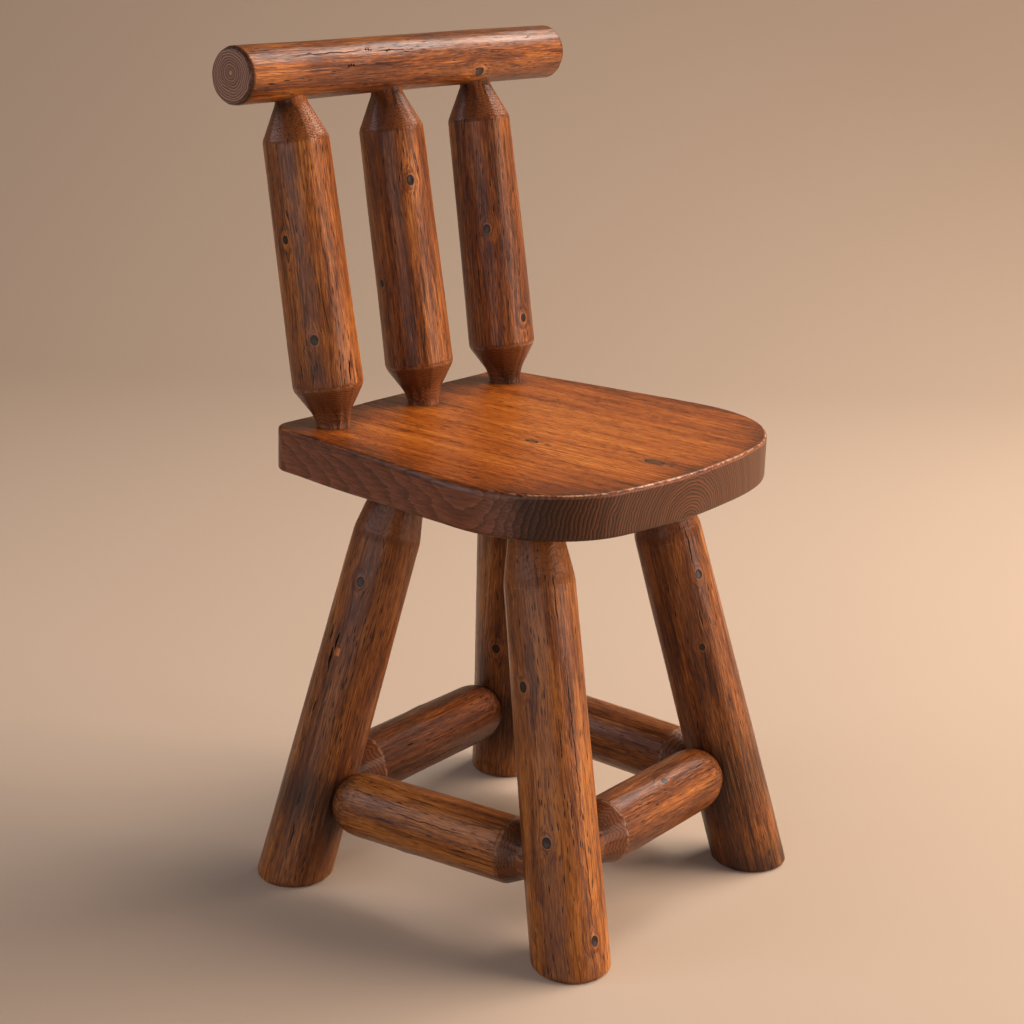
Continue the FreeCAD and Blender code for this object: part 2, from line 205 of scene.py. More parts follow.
    def skin(self, turn, along):
        """Height of the peeled skin over the turned shape, in mm: low lobes that lean along the log and never
        stand proud of it, a swelling round each knot with its core let in, and the grooves of the cracks. The
        cones have the drawknife's flats as well: a chord's sag under the circle, times a share for the
        sanding."""
        radius = self.turned(along)
        height = np.zeros(np.shape(along))
        for count, size, phase, lean in self.lobes:
            height += size * (np.cos(count * turn + phase + lean * along) - 1)
        for _, _, distance, size in self.knot_offsets(turn, along, radius):
            height += KNOT_SWELL * size * np.exp(-(distance / 2.2) ** 2)
            height += KNOT_LIP * size * np.exp(-((distance - 1.25) / 0.3) ** 2)
            height -= KNOT_DENT * size * np.exp(-(distance / 0.8) ** 4)
        cone = np.clip(4 * self.cut(along), 0, 1) * (self.profile[:, 2].max() < 1)
        half_flat = math.pi / CONE_FLATS
        sag = 1 - math.cos(half_flat) / np.cos(np.mod(turn + self.draw, 2 * half_flat) - half_flat)
        height -= CONE_FLAT_SHARE * sag * radius * cone
        return height - np.maximum(self.crack_share(turn, along, radius)[1],
                                   CHIP_DEPTH * self.chip_share(turn, along, radius))

    def surface(self, turn, along):
        """Points on the log: the turned radius plus the height of the skin."""
        return self.points(turn, along, self.turned(along) + self.skin(turn, along))

    def rings(self, first, last):
        """Rings on the log between two places along it."""
        along = np.repeat(self.stations(first, last)[:, None], RING_COUNT, 1)
        return self.surface(self.spun(self.turns(), along), along)

    def marks(self, points):
        """What the wood's material reads at each point.

        wood: the place in the tree in mm, two distances from the pith and one along the grain. The grain
        turns with the log's spiral, parts round each knot as a stream does round a post, and the growth rings
        bulge there. knot: the offset from the nearest knot in knot radii, round and along. wear: 1 on a
        cone's shoulder, a pale line of wear with a painted highlight. dark: 1 in the dark patches, dirt with
        painted shade where the log meets other parts. cut, crack, chip and shade are as above.
        """
        offset = points - self.start
        along = offset @ self.axis
        x, y = offset @ self.side, offset @ self.other
        radius, turn = np.hypot(x, y), np.arctan2(y, x)
        flow, bulge = np.zeros(len(points)), np.zeros(len(points))
        knot = np.full((len(points), 3), KNOT_REACH)
        for round_skin, lengthwise, distance, size in self.knot_offsets(turn, along, radius):
            spread = (1.7 * size) ** 2
            flow -= round_skin * spread / (round_skin ** 2 + 0.5 * lengthwise ** 2 + spread)
            bulge += 1.1 * size * np.exp(-(distance / 2.4) ** 2)
            offsets = np.stack([round_skin, lengthwise / KNOT_LENGTH, np.zeros(len(points))], -1) / size
            knot = np.where((distance < np.linalg.norm(knot, axis=1))[:, None], offsets, knot)
        grain_turn = turn - self.spiral * along + flow / np.maximum(radius, 10.0)
        depth = radius - bulge
        wood = np.stack([depth * np.cos(grain_turn) - self.pith[0], depth * np.sin(grain_turn) - self.pith[1],
                         along + MM * self.draw], -1)
        # The pale line by a cone's shoulder: wear with a painted highlight
        wear = (np.exp(-((along[:, None] - self.shoulders) / SHOULDER_WEAR_AND_HIGHLIGHT) ** 2) * self.wear_and_highlight_share).max(1)
        # The dark patches: dirt, with painted shade where the log meets other parts
        dark = np.zeros(len(points))
        for place, reach in self.dark:
            dark = np.maximum(dark, np.exp(-((along - place) / reach) ** 2))
        skin = radius > 0.93 * self.turned(along)
        return {"wood": wood, "knot": knot, "cut": self.cut(along), "wear": wear * skin, "dark": dark * skin,
                "shade": np.full(len(points), self.shade),
                "crack": self.crack_share(turn, along, radius)[0] * (radius > 10.0),
                "chip": self.chip_share(turn, along, radius) * (radius > 10.0)}


def shut_skin(rows):
    """Points and faces of a closed skin over a stack of rings: quads between neighbouring rings, and a fan
    from the middle of the first and of the last ring."""
    count, ring = rows.shape[:2]
    points = np.concatenate([rows.reshape(-1, 3), rows[0].mean(0)[None], rows[-1].mean(0)[None]])
    here = np.arange(ring)
    after = np.roll(here, -1)
    base = np.arange(count - 1)[:, None] * ring
    quads = np.stack([base + here, base + after, base + ring + after, base + ring + here], -1).reshape(-1, 4)
    last = (count - 1) * ring
    low_fan = np.stack([np.full(ring, count * ring), after, here], -1)
    high_fan = np.stack([np.full(ring, count * ring + 1), last + here, last + after], -1)
    return points, quads.tolist() + low_fan.tolist() + high_fan.tolist()


def add_piece(node_name, rows, marks, material):
    """A piece named for the CAD node that it stands for, with the wood's marks stored at its points."""
    points, faces = shut_skin(rows)
    mesh = bpy.data.meshes.new(node_name + "_skin")
    mesh.from_pydata(points / MM, [], faces)
    mesh.polygons.foreach_set("use_smooth", np.ones(len(faces), bool))
    for name, values in marks(points).items():
        flat = values.ndim == 1
        layer = mesh.attributes.new(name, "FLOAT" if flat else "FLOAT_VECTOR", "POINT")
        layer.data.foreach_set("value" if flat else "vector", values.astype(np.float32).ravel())
    mesh.materials.append(material)
    mesh.update()
    piece = bpy.data.objects.new(node_name + "_finished", mesh)
    bpy.context.scene.collection.objects.link(piece)
    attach(piece, "root")
    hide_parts(node_name)


def blank_material(name):
    """A material with an empty node tree."""
    material = bpy.data.materials.new(name)
    material.use_nodes = True
    material.node_tree.nodes.clear()
    return material, material.node_tree


def colour(code):
    """Linear colour of an sRGB hex code."""
    srgb = np.array([int(code[i:i + 2], 16) for i in (1, 3, 5)]) / 255
    linear = np.where(srgb <= 0.04045, srgb / 12.92, ((srgb + 0.055) / 1.055) ** 2.4)
    return (*linear.tolist(), 1.0)


def node(tree, kind, inputs=None, out=0, stops=(), **settings):
    """Add a node with its settings, its ramp's stops and its inputs, and give one of its outputs. An input
    that is a socket is linked, and one that is a hex code is set as a colour."""
    made = tree.nodes.new("ShaderNode" + kind)
    for name, value in settings.items():
        setattr(made, name, value)
    for number, (place, code) in enumerate(stops):
        elements = made.color_ramp.elements
        element = elements[number] if number < len(elements) else elements.new(place)
        element.position, element.color = place, colour(code)
    for name, value in (inputs or {}).items():
        if isinstance(value, bpy.types.NodeSocket):
            tree.links.new(value, made.inputs[name])
        else:
            made.inputs[name].default_value = colour(value) if isinstance(value, str) else value
    return made.outputs[out] if made.outputs else made


GRAINS = {                       # each noise's mm across and along the grain, its detail and its roughness
    "wander": (16.0, 150.0, 2.0, 0.55),
    "waver": (6.0, 9.0, 1.0, 0.55),
    "fibre": (1.0, 15.0, 4.0, 0.68),
    "streak": (1.9, 95.0, 3.0, 0.6),
    "blotch": (18.0, 120.0, 2.0, 0.55),
    "mottle": (6.0, 34.0, 2.0, 0.55),
    "line": (7.0, 140.0, 1.0, 0.55),
    "cool": (26.0, 170.0, 1.0, 0.55),
}
PORE_WIDTH, PORE_LENGTH = 2.8, 20.0          # of the cells that hold one dark pore each
RING_WANDER, RING_WAVER = 6.0, 0.8           # how far the rings swing, slowly and quickly
RING_GROUP = 7.0                 # width of a group of dark years
PITH_WIDTH = 10.0                # reach of the pale heart on a sawn end
KNOT_WAVER = 0.3                 # how far a knot's rim wanders, in knot radii
LEVEL_BASE = -0.245              # what the noises of the stain's level are added to
CONE_CALM, CONE_LEVEL = 0.55, 0.47           # how even a cone's stain is, and its level
TONE_STOPS = (0.285, 0.408, 0.518, 0.65)     # levels of the stain's four tones
SAWN_STOPS = (0.0, 0.28, 0.55, 0.84)         # in widths of a ring
CONE_STOPS = (0.0, 0.16, 0.62, 0.88)
BLACK, WHITE = "#000000", "#ffffff"


def stained_pine(name, ring_width, cone_rings, tones, sawn_tones, cone_tones, knot_core, drift, gloss):
    """Softwood under a brown stain and a satin varnish, from the marks that each piece carries.

    Growth rings are steps of the distance from the pith. On the skin they draw out into long flames, and on
    the cones and sawn ends they show as close rings, where the open grain drinks more stain. Fine fibres,
    broad streaks, blotches of stain, thin dark lines and short dark pores lie along the grain. The dark mark
    darkens the wood with dirt and painted shade, the wear mark lays a pale line of wear with a painted
    highlight, and painted shade darkens the cracks. tones run from dark to pale, sawn_tones and cone_tones
    from a ring's inner edge to its outer one. cone_rings is how much closer the rings show on a cone, and
    drift the share of cool purple-brown patches, which also stand in for a painted cool sheen.
    """
    material, tree = blank_material(name)
    wood, knot_offset = (node(tree, "Attribute", out="Vector", attribute_name=key)
                         for key in ("wood", "knot"))
    cut, wear, dark, shade, crack, chip = (node(tree, "Attribute", out="Fac", attribute_name=key)
                                           for key in ("cut", "wear", "dark", "shade", "crack", "chip"))
    grain = {}
    for key, (across, along, detail, rough) in GRAINS.items():
        scale = (1 / across, 1 / across, 1 / along)
        place = node(tree, "VectorMath", {0: wood, 1: scale}, operation="MULTIPLY")
        grain[key] = node(tree, "TexNoise", {"Vector": place, "Scale": 1.0, "Detail": detail,
                                             "Roughness": rough})
    wander, waver, fibre, streak, blotch, mottle, line, cool = grain.values()

    # Growth rings
    flat = node(tree, "VectorMath", {0: wood, 1: (1.0, 1.0, 0.0)}, operation="MULTIPLY")
    depth = node(tree, "VectorMath", {0: flat}, "Value", operation="LENGTH")
    swing = node(tree, "Math", {0: waver, 1: RING_WAVER}, operation="MULTIPLY")
    swing = node(tree, "Math", {0: wander, 1: RING_WANDER, 2: swing}, operation="MULTIPLY_ADD")
    on_cone = node(tree, "ValToRGB", {0: cut},
                   stops=[(0.0, BLACK), (0.1, WHITE), (0.85, WHITE), (1.0, BLACK)])
    closer = node(tree, "Math", {0: on_cone, 1: cone_rings - 1.0, 2: 1.0}, operation="MULTIPLY_ADD")
    ring = node(tree, "Math", {0: depth, 1: swing}, operation="ADD")
    ring = node(tree, "Math", {0: ring, 1: ring_width}, operation="DIVIDE")
    ring = node(tree, "Math", {0: ring, 1: closer}, operation="MULTIPLY")
    ring = node(tree, "Math", {0: ring}, operation="FRACT")
    latewood = node(tree, "ValToRGB", {0: ring},
                    stops=[(0.0, BLACK), (0.45, "#3a3a3a"), (0.85, WHITE), (1.0, BLACK)])
    group = node(tree, "Math", {0: depth, 1: RING_GROUP}, operation="DIVIDE")
    group = node(tree, "TexNoise", {"W": group, "Scale": 1.0, "Detail": 1.0}, noise_dimensions="1D")
    group = node(tree, "ValToRGB", {0: group}, stops=[(0.4, BLACK), (0.62, "#a0a0a0")])

    # Pores in the cells of a long lattice, and dark lines where a slow noise crosses its middle
    cell = (1 / PORE_WIDTH, 1 / PORE_WIDTH, 1 / PORE_LENGTH)
    place = node(tree, "VectorMath", {0: wood, 1: cell}, operation="MULTIPLY")
    pore = node(tree, "TexVoronoi", {"Vector": place, "Scale": 1.0, "Randomness": 1.0}, "Distance")
    pore = node(tree, "ValToRGB", {0: pore}, stops=[(0.14, WHITE), (0.24, BLACK)])
    crowd = node(tree, "ValToRGB", {0: wander}, stops=[(0.38, BLACK), (0.52, WHITE)])
    pore = node(tree, "Math", {0: pore, 1: crowd}, operation="MULTIPLY")
    line = node(tree, "Math", {0: line, 1: 0.5}, operation="SUBTRACT")
    line = node(tree, "Math", {0: line}, operation="ABSOLUTE")
    line = node(tree, "ValToRGB", {0: line}, stops=[(0.004, WHITE), (0.016, BLACK)])
    broken = node(tree, "ValToRGB", {0: streak}, stops=[(0.42, WHITE), (0.58, BLACK)])
    line = node(tree, "Math", {0: line, 1: broken}, operation="MULTIPLY")

    # Stain on the skin: a level summed from the noises picks the tone, and is calmer on the cones
    level = LEVEL_BASE
    for field, weight in ((fibre, 0.64), (streak, 0.36), (latewood, -0.06), (blotch, 0.36), (mottle, 0.13)):
        level = node(tree, "Math", {0: field, 1: weight, 2: level}, operation="MULTIPLY_ADD")
    calm = node(tree, "Math", {0: on_cone, 1: CONE_CALM}, operation="MULTIPLY")
    level = node(tree, "Mix", {0: calm, 2: level, 3: CONE_LEVEL})
    level = node(tree, "Math", {0: level, 1: shade}, operation="ADD")
    tone = node(tree, "ValToRGB", {0: level}, stops=zip(TONE_STOPS, tones))

    # End grain on the sawn faces and the cones
    sawn_tone = node(tree, "ValToRGB", {0: ring}, stops=zip(SAWN_STOPS, sawn_tones))
    sawn_tone = node(tree, "Mix", {0: group, 6: sawn_tone, 7: sawn_tones[3]}, 2, data_type="RGBA")
    heart = node(tree, "Math", {0: depth, 1: PITH_WIDTH}, operation="DIVIDE")
    heart = node(tree, "ValToRGB", {0: heart}, stops=[(0.08, WHITE), (0.22, BLACK)])
    sawn_tone = node(tree, "Mix", {0: heart, 6: sawn_tone, 7: "#a8845f"}, 2, data_type="RGBA")
    cone_tone = node(tree, "ValToRGB", {0: ring}, stops=zip(CONE_STOPS, cone_tones))
    end_tone = node(tree, "Mix", {0: on_cone, 6: sawn_tone, 7: cone_tone}, 2, data_type="RGBA")

    # Knots: a pale collar, a black ring of bark and a brown core
    side = node(tree, "Math", {0: 1.0, 1: cut}, operation="SUBTRACT")
    away = node(tree, "VectorMath", {0: knot_offset}, "Value", operation="LENGTH")
    away = node(tree, "Math", {0: waver, 1: KNOT_WAVER, 2: away}, operation="MULTIPLY_ADD")
    knot = node(tree, "Math", {0: away, 1: -1 / KNOT_REACH, 2: 1 + 0.5 * KNOT_WAVER / KNOT_REACH},
                operation="MULTIPLY_ADD")
    knot_tone = node(tree, "ValToRGB", {0: knot},
                     stops=[(0.45, "#7d4322"), (0.68, "#ab6d44"), (0.705, "#120a07"), (0.775, "#130a08"),
                            (0.8, knot_core), (0.93, knot_core), (1.0, "#251a17")])
    knot = node(tree, "ValToRGB", {0: knot}, stops=[(0.45, BLACK), (0.66, "#808080"), (0.72, WHITE)])

    # The shares of all that lies over the stain, and the layers one over the other
    # Cool purple-brown patches at random, which also stand in for a painted cool sheen
    cool = node(tree, "ValToRGB", {0: cool}, stops=[(0.44, BLACK), (0.62, WHITE)])
    # Breaks in the pale shoulder line of wear and painted highlight
    broken_wear_and_highlight = node(tree, "ValToRGB", {0: waver}, stops=[(0.42, BLACK), (0.56, WHITE)])
    # Streaks through the dark patches of dirt and painted shade
    grime_and_shade = node(tree, "ValToRGB", {0: streak}, stops=[(0.4, "#f0f0f0"), (0.62, "#b4b4b4")])
    torn_tone = node(tree, "ValToRGB", {0: fibre}, stops=[(0.35, "#8f4d22"), (0.6, "#c9803f")])
    # The cracks' near-black is painted shade in their narrow gaps
    crack = node(tree, "ValToRGB", {0: crack}, stops=[(0.1, BLACK), (0.4, WHITE)])
    for first, second, over in ((cool, drift, "#4f2e25"), (line, 0.75, "#1d0d07"), (cut, 1.0, end_tone),
                                (knot, side, knot_tone), (wear, broken_wear_and_highlight, "#cfa584"), (pore, side, "#120805"),
                                (dark, grime_and_shade, "#24140e"), (chip, 1.0, torn_tone), (crack, 1.0, "#0a0402")):
        share = node(tree, "Math", {0: first, 1: second}, operation="MULTIPLY")
        tone = node(tree, "Mix", {0: share, 6: tone, 7: over}, 2, data_type="RGBA")

    # Varnish: satin on the skin, duller on the cut grain
    relief = 0.0
    for field, height in ((latewood, -0.3), (fibre, 0.6), (pore, -0.9)):
        relief = node(tree, "Math", {0: field, 1: height, 2: relief}, operation="MULTIPLY_ADD")
    relief = node(tree, "Math", {0: relief, 1: side}, operation="MULTIPLY")
    bump = node(tree, "Bump", {"Height": relief, "Strength": 0.6, "Distance": 1 / MM})
    dull = node(tree, "Math", {0: fibre, 1: streak}, operation="ADD")
    dull = node(tree, "Math", {0: dull, 1: 0.5}, operation="MULTIPLY")
    dull = node(tree, "ValToRGB", {0: dull}, stops=[(0.3, "#b4b4b4"), (0.7, "#848484")])
    dull = node(tree, "Mix", {0: cut, 2: dull, 3: 0.4})
    coat = node(tree, "Math", {0: cut, 1: -0.8 * gloss, 2: gloss}, operation="MULTIPLY_ADD")
    finish = node(tree, "BsdfPrincipled", {"Base Color": tone, "Roughness": dull, "Normal": bump,
                                           "Specular IOR Level": 0.3, "Coat Roughness": 0.3,
                                           "Coat Weight": coat})
    node(tree, "OutputMaterial", {"Surface": finish})
    return material


log_wood = stained_pine("stained_varnished_pine_log", 2.5, 1.9,
                        tones=("#33190b", "#582d12", "#80481d", "#b06e30"),
                        sawn_tones=("#bf9f8a", "#82604f", "#765345", "#573b30"),
                        cone_tones=("#9a643c", "#6d3f26", "#5c3520", "#48291a"),
                        knot_core="#2b1a13", drift=0.36, gloss=0.12)


def leg_profile(length):
    """A leg's profile: a slow taper from the foot to the shoulder, then the cone to the neck."""
    shoulder = length - LEG_NECK_LENGTH
    return [(-PROFILE_OVERRUN, LEG_FOOT_RADIUS, 0), (0.0, LEG_FOOT_RADIUS, 0),
            (shoulder - 0.5, LEG_SHOULDER_RADIUS, 0), (shoulder + 0.5, LEG_SHOULDER_RADIUS, LEG_CUT),
            (length, LEG_NECK_RADIUS, LEG_CUT), (length + PROFILE_OVERRUN, LEG_NECK_RADIUS, LEG_CUT)]


def make_leg(side_splay, rake, foot_mount, draw, **marks):
    """A leg's log, from its foot's mount on the floor to the seat's underside."""
    mount = next(m for m in frame["record"]["mounts"] if m["name"] == foot_mount)
    foot = np.array(mount["pos_m"]) * MM
    rise = seat_low[2]
    lean = [-math.tan(math.radians(side_splay)), -math.tan(math.radians(rake)), 1.0]
    span = np.array(lean) * rise
    return Log(foot, foot + span, leg_profile(np.linalg.norm(span)), draw, blend=4.0, **marks)


# Dark patches under the seat, where the stretchers meet three legs and at the front left foot: dirt with
# painted shade
legs = {
    # The front right leg's shade paints it paler: painted light
    "front_right": make_leg(-FRONT_SPLAY, FRONT_RAKE, "foot_front_right", 1, spiral=-4.8,
                            knots=[(179, 263, 3.4), (199, 121, 3.7), (260, 27, 3.4), (60, 200, 4.0)],
                            cracks=[(254, 130, 290, 0.9), (243, 316, 366, 1.1), (259, 50, 118, 0.9),
                                    (240, 120, 165, 0.6), (232, 190, 240, 0.6)],
                            dark=[(424, 20)], shade=0.045),
    "front_left": make_leg(FRONT_SPLAY, FRONT_RAKE, "foot_front_left", 2, spiral=2.0,
                           knots=[(252, 315, 3.4), (227, 243, 2.4), (20, 150, 4.5)],
                           cracks=[(248, 322, 366, 1.3), (236, 262, 280, 1.2), (227, 205, 240, 0.9)],
                           dark=[(424, 24), (100, 45), (0, 30)], shade=-0.01),
    "rear_right": make_leg(-REAR_RIGHT_SPLAY, REAR_RIGHT_RAKE, "foot_rear_right", 3, spiral=-3.0,
                           knots=[(195, 310, 3.4), (60, 120, 4.5)],
                           cracks=[(178, 216, 240, 3.2), (164, 240, 262, 3.6), (182, 238, 256, 2.6),
                                   (173, 170, 184, 2.4), (199, 34, 62, 1.4), (193, 76, 92, 1.2)],
                           chips=[(189, 237, 2.6, 4.0)], dark=[(424, 34), (88, 34)]),
    "rear_left": make_leg(REAR_LEFT_SPLAY, REAR_LEFT_RAKE, "foot_rear_left", 4, spiral=2.5,
                          knots=[(110, 270, 4.0), (200, 180, 3.6)], cracks=[(60, 120, 300, 1.6)],
                          dark=[(424, 60), (92, 50)]),
}


def sawn_face(rim, count):
    """Rings over a sawn end, from near its middle out to near its rim: middle + share (rim - middle)."""
    return rim.mean(0) + (rim - rim.mean(0)) * np.linspace(0.04, 0.96, count)[:, None, None]


def leg_rows(leg):
    """Rings from the middle of the foot up to the end of the tenon. The rings near the floor and the seat
    slide along the log so that the last ones lie in the level planes, and the foot's rim is rounded by its
    height."""
    def slant(turn):
        return (np.cos(turn) * leg.side[2] + np.sin(turn) * leg.other[2]) / leg.axis[2]

    turn = leg.turns()
    fixed = leg.stations(FOOT_SLIDE, leg.length - SEAT_SLIDE)
    foot_end, seat_end = np.zeros(len(turn)), np.full(len(turn), leg.length)
    for _ in range(4):
        foot_turn, seat_turn = leg.spun(turn, foot_end), leg.spun(turn, seat_end)
        foot_end = -(leg.turned(foot_end) + leg.skin(foot_turn, foot_end)) * slant(foot_turn)
        seat_end = leg.length - (leg.turned(seat_end) + leg.skin(seat_turn, seat_end)) * slant(seat_turn)
    share = np.linspace(0, 1, FOOT_RINGS, endpoint=False)[:, None]
    low = foot_end + (fixed[0] - foot_end) * share ** FOOT_CROWDING
    high = fixed[-1] + (seat_end - fixed[-1]) * np.linspace(0, 1, NECK_RINGS)[1:, None]
    along = np.concatenate([low, np.repeat(fixed[:, None], len(turn), 1), high])
    spun = leg.spun(turn, along)
    radius = leg.turned(along) + leg.skin(spun, along)
    rings = leg.points(spun, along, radius)
    height = np.clip(rings[..., 2], 0, LEG_FOOT_ROUNDING)
    eased = LEG_FOOT_ROUNDING - np.sqrt(LEG_FOOT_ROUNDING ** 2 - (LEG_FOOT_ROUNDING - height) ** 2)
    rings = leg.points(spun, along + eased * slant(spun), radius - eased)
    rings[0, :, 2] = 0.0
    shoulder = leg.length - LEG_TENON_RADIUS * slant(spun[-1])
    tenon_along = np.stack([shoulder, np.full(len(turn), leg.length + LEG_TENON_LENGTH)])
    tenon_turn = np.broadcast_to(spun[-1], tenon_along.shape)
    tenon = leg.points(tenon_turn, tenon_along, np.full(tenon_along.shape, LEG_TENON_RADIUS))
    return np.concatenate([sawn_face(rings[0], 12), rings, tenon])


for place, leg in legs.items():
    add_piece("leg_" + place, leg_rows(leg), leg.marks, log_wood)

# Stretchers
# Four shorter logs that tie the legs just above the floor. One end of each is coned and the other is rounded
# to a dome, each end is scribed to the round of the leg that it meets, and a round tenon goes on into the
# leg.
STRETCHER_RADIUS = 32.5
STRETCHER_NECK_RADIUS = 24.0
STRETCHER_DOME_LENGTH = 31.0
STRETCHER_DOME_START = 4.0       # inside the leg's skin
STRETCHER_DOME_TIP = 14.0
STRETCHER_CUT = 0.85             # how much of the end grain's look its cones have
STRETCHER_DOME_CUT = 0.02
STRETCHER_SLIDE = 22.0           # end outside a leg, over which the rings turn to the scribed rim
STRETCHER_END_RINGS = 22
STRETCHER_GRIME_AND_SHADE = 15.0           # reach of the dirt and painted shade beside a leg
SHOULDER_STEP = 0.8              # over which a cone's cut grain gives way to the skin
STRETCHER_TENON_RADIUS = 16.0
STRETCHER_TENON_LENGTH = 20.0
FRONT_STRETCHER_HEIGHTS = (99.0, 104.0)      # at the right and left legs
REAR_STRETCHER_HEIGHTS = (89.0, 90.0)
RIGHT_STRETCHER_HEIGHTS = (84.0, 89.0)       # at the rear and front legs
LEFT_STRETCHER_HEIGHTS = (89.0, 89.0)
SHOULDER_BED = 2.0               # how far the scribed rim beds into the leg's uneven skin


def leg_at(leg, height):
    """A leg's axis point and radius at a height."""
    along = height / leg.axis[2]
    return leg.start + leg.axis * along, float(leg.turned(np.array(along)))


def stretcher_end(radius, cone):
    """Profile of one end outward from the leg's skin: a cone of the given length with a crisp shoulder, or,
    for a length of 0, a dome that starts inside the leg, rounded over as
    r = tip + (body - tip) sqrt(1 - (1 - t)^2)."""
    if cone:
        return [(radius, STRETCHER_NECK_RADIUS, STRETCHER_CUT),
                (radius + cone, STRETCHER_RADIUS, STRETCHER_CUT)]
    share = np.linspace(0, 1, 13)
    radii = STRETCHER_DOME_TIP + (STRETCHER_RADIUS - STRETCHER_DOME_TIP) * np.sqrt(1 - (1 - share) ** 2)
    places = radius - STRETCHER_DOME_START + STRETCHER_DOME_LENGTH * share
    return [(along, dome_radius, STRETCHER_DOME_CUT) for along, dome_radius in zip(places, radii)]


def make_stretcher(first, last, heights, draw, cones, **marks):
    """The log between two legs from axis to axis, with the heights and the cones of its two ends."""
    start, first_radius = leg_at(first, heights[0])
    end, last_radius = leg_at(last, heights[1])
    length = np.linalg.norm(end - start)
    near = stretcher_end(first_radius, cones[0])
    far = [(length - along, radius, cut) for along, radius, cut in stretcher_end(last_radius, cones[1])[::-1]]
    profile = [(0.0, near[0][1], near[0][2])] + near + [(near[-1][0] + SHOULDER_STEP, STRETCHER_RADIUS, 0),
               (far[0][0] - SHOULDER_STEP, STRETCHER_RADIUS, 0)] + far + [(length, far[-1][1], far[-1][2])]
    dark = [(first_radius, STRETCHER_GRIME_AND_SHADE), (length - last_radius, STRETCHER_GRIME_AND_SHADE)]
    log = Log(start, end, profile, draw, dark=dark, **marks)
    log.ends = [(first, first_radius), (last, last_radius)]
    return log


stretchers = {
    "front": make_stretcher(legs["front_right"], legs["front_left"], FRONT_STRETCHER_HEIGHTS, 5, (25, 0),
                            spiral=4.0, knots=[(118, 142, 3.0), (300, 90, 4.0)],
                            cracks=[(127, 92, 122, 0.8), (137, 72, 92, 0.7), (125, 190, 208, 0.8),
                                    (162, 80, 104, 0.6), (148, 111, 117, 1.4), (190, 116, 128, 0.8)],
                            shade=-0.02),
    # The rear stretcher's shade paints it darker: painted shade under the seat
    "rear": make_stretcher(legs["rear_right"], legs["rear_left"], REAR_STRETCHER_HEIGHTS, 6, (30, 0),
                           spiral=-3.0, knots=[(60, 170, 4.0)],
                           cracks=[(148, 104, 114, 1.6), (200, 90, 210, 1.2)], shade=-0.1),
    # The right stretcher's shade paints it paler: a painted share of its sheen
    "right": make_stretcher(legs["rear_right"], legs["front_right"], RIGHT_STRETCHER_HEIGHTS, 7, (0, 18),
                            spiral=3.0, knots=[(250, 120, 4.0)], cracks=[(150, 110, 200, 0.9)], shade=0.05),
    "left": make_stretcher(legs["rear_left"], legs["front_left"], LEFT_STRETCHER_HEIGHTS, 8, (0, 28),
                           spiral=-2.0, knots=[(30, 140, 4.0)], cracks=[(320, 90, 180, 1.0)]),
}


def scribed_rim(log, turn, leg, guess, outward):
    """Where each line along a stretcher's cone meets the leg: the gap to the leg's skin is taken off the
    place along the log until it closes."""
    along = np.full(turn.shape, guess)
    for _ in range(12):
        spun = log.spun(turn, along)
        offset = log.surface(spun, along) - leg.start
        height = offset @ leg.axis
        gap = np.linalg.norm(offset - height[:, None] * leg.axis, axis=1) - leg.turned(height) + SHOULDER_BED
        along = along + outward * gap
    return along


def stretcher_rows(log):
    """Rings from one tenon's end to the other; the rings of each cone slide to the scribed rim."""
    turn = log.turns()
    (first, first_radius), (last, last_radius) = log.ends
    low_rim = scribed_rim(log, turn, first, first_radius, -1)
    high_rim = scribed_rim(log, turn, last, log.length - last_radius, 1)
    fixed = log.stations(first_radius + STRETCHER_SLIDE, log.length - last_radius - STRETCHER_SLIDE)
    share = np.linspace(0, 1, STRETCHER_END_RINGS, endpoint=False)[:, None]
    low = low_rim + (fixed[0] - low_rim) * share
    high = high_rim + (fixed[-1] - high_rim) * share[::-1]
    along = np.concatenate([low, np.repeat(fixed[:, None], len(turn), 1), high])
    spun = log.spun(turn, along)
    rings = log.surface(spun, along)
    tenons = []
    for rim, rim_turn, tenon_end in ((low_rim, spun[0], first_radius - STRETCHER_TENON_LENGTH),
                                     (high_rim, spun[-1], log.length - last_radius + STRETCHER_TENON_LENGTH)):
        places = np.stack([rim, np.full(len(turn), tenon_end)])
        radii = np.full(places.shape, STRETCHER_TENON_RADIUS)
        tenons.append(log.points(np.broadcast_to(rim_turn, places.shape), places, radii))
    return np.concatenate([tenons[0][::-1], rings, tenons[1]])


for place, log in stretchers.items():
    add_piece("stretcher_" + place, stretcher_rows(log), log.marks, log_wood)

# Seat
# One thick slab sawn from near the heart of a larger log, with the grain running front to back. It is cut to
# a bowed front with wide corners and worn edges, and the legs' and spindles' tenons end inside it.
SEAT_BACK_WIDTH = 344.0
SEAT_SIDE_SPLAY = 6.3            # degrees
SEAT_FRONT_BOW = 500.0           # radius
SEAT_BACK_CORNER = 18.0
SEAT_FRONT_CORNER = 118.0
SEAT_EDGE_WEAR = 3.4             # radius of the worn edges
SEAT_WORN_CORNER = (-200.0, -80.0)           # where hands and feet rounded the edge most
SEAT_CORNER_WEAR, SEAT_CORNER_REACH = 4.0, 80.0            # added to that radius there, and how far round
SEAT_WEAR_SWINGS = ((5, 0.7, 1.1), (13, 0.5, 4.0))         # of the worn edge: count round, size, phase
SEAT_DIPS = ((3, 0.35, 0.6), (11, 0.2, 2.0))               # of the wall: count round, depth, phase
SEAT_PITH = (-24.0, -4.0)        # beside the seat's middle, and above its underside
SEAT_KNOTS = [(-39.6, -31.2, 3.4), (-16.6, -156.5, 5.0)]   # x beside the middle, y, radius
